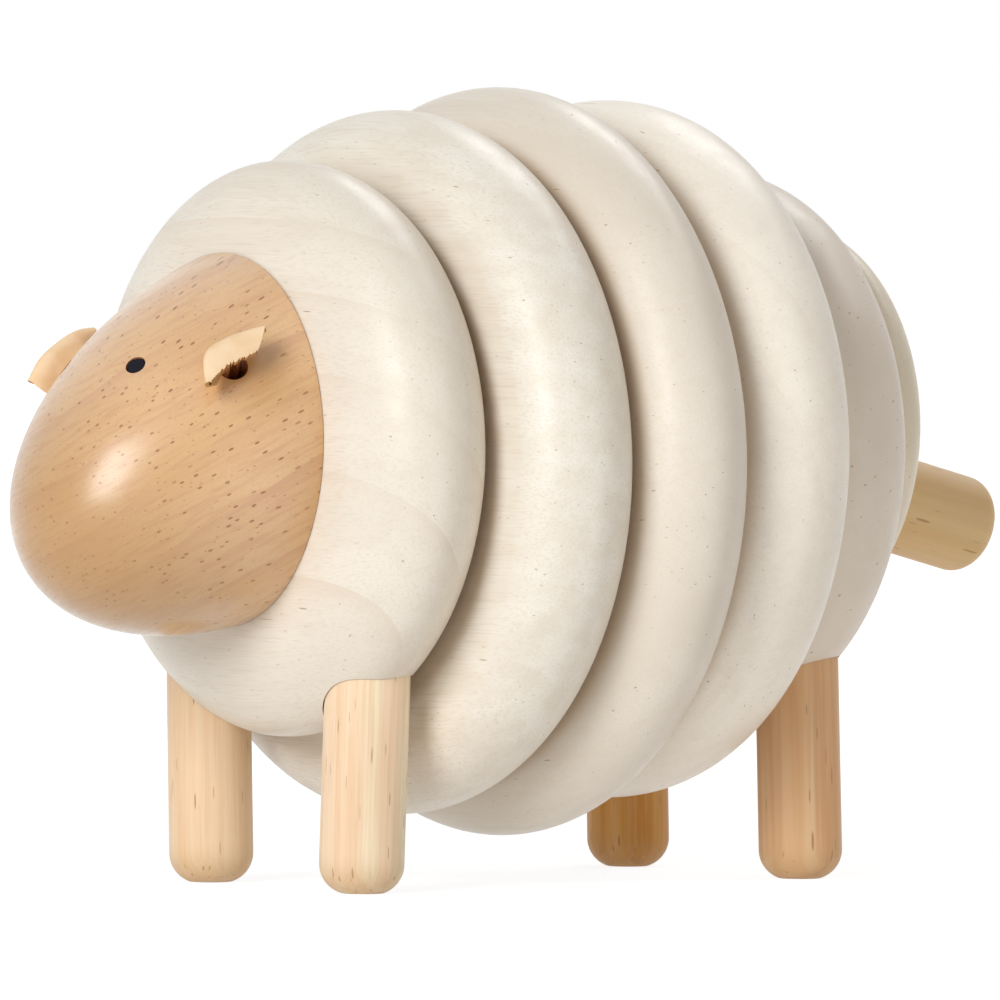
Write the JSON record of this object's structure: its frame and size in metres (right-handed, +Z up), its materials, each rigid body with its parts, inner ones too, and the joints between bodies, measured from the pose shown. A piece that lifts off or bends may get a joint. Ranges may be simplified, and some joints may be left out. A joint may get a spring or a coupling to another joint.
{
  "type": "toy sheep figure",
  "caption": "Standing toy sheep of turned wood: round-rimmed discs on a spine dowel, egg-shaped head with leather ears and peg eyes, dowel legs and tail.",
  "frame": {"origin": "on the ground below the middle of the toy's length", "axes": "+Y points backward from the head to the tail, +X to the toy's left, +Z up"},
  "size_m": [0.1168, 0.1848, 0.1238],
  "materials": {
    "head_wood": "satin",
    "ear_leather": "matte, undyed",
    "eye_black": "black stained peg, satin",
    "white_wood": "white-washed, satin",
    "leg_wood": "natural, matte",
    "inner_wood": "raw dowel"
  },
  "bodies": {
    "root": {"head": "head_wood", "ear_left": "ear_leather", "ear_right": "ear_leather", "eye_left": "eye_black", "eye_right": "eye_black", "chest_disc": "white_wood", "shoulder_disc": "white_wood", "middle_disc": "white_wood", "loin_disc": "white_wood", "hip_disc": "white_wood", "rump_disc": "white_wood", "leg_front_left": "leg_wood", "leg_front_right": "leg_wood", "leg_rear_left": "leg_wood", "leg_rear_right": "leg_wood", "tail": "leg_wood", "spine_dowel": "inner_wood", "neck_dowel": "inner_wood"}
  },
  "joints": []
}
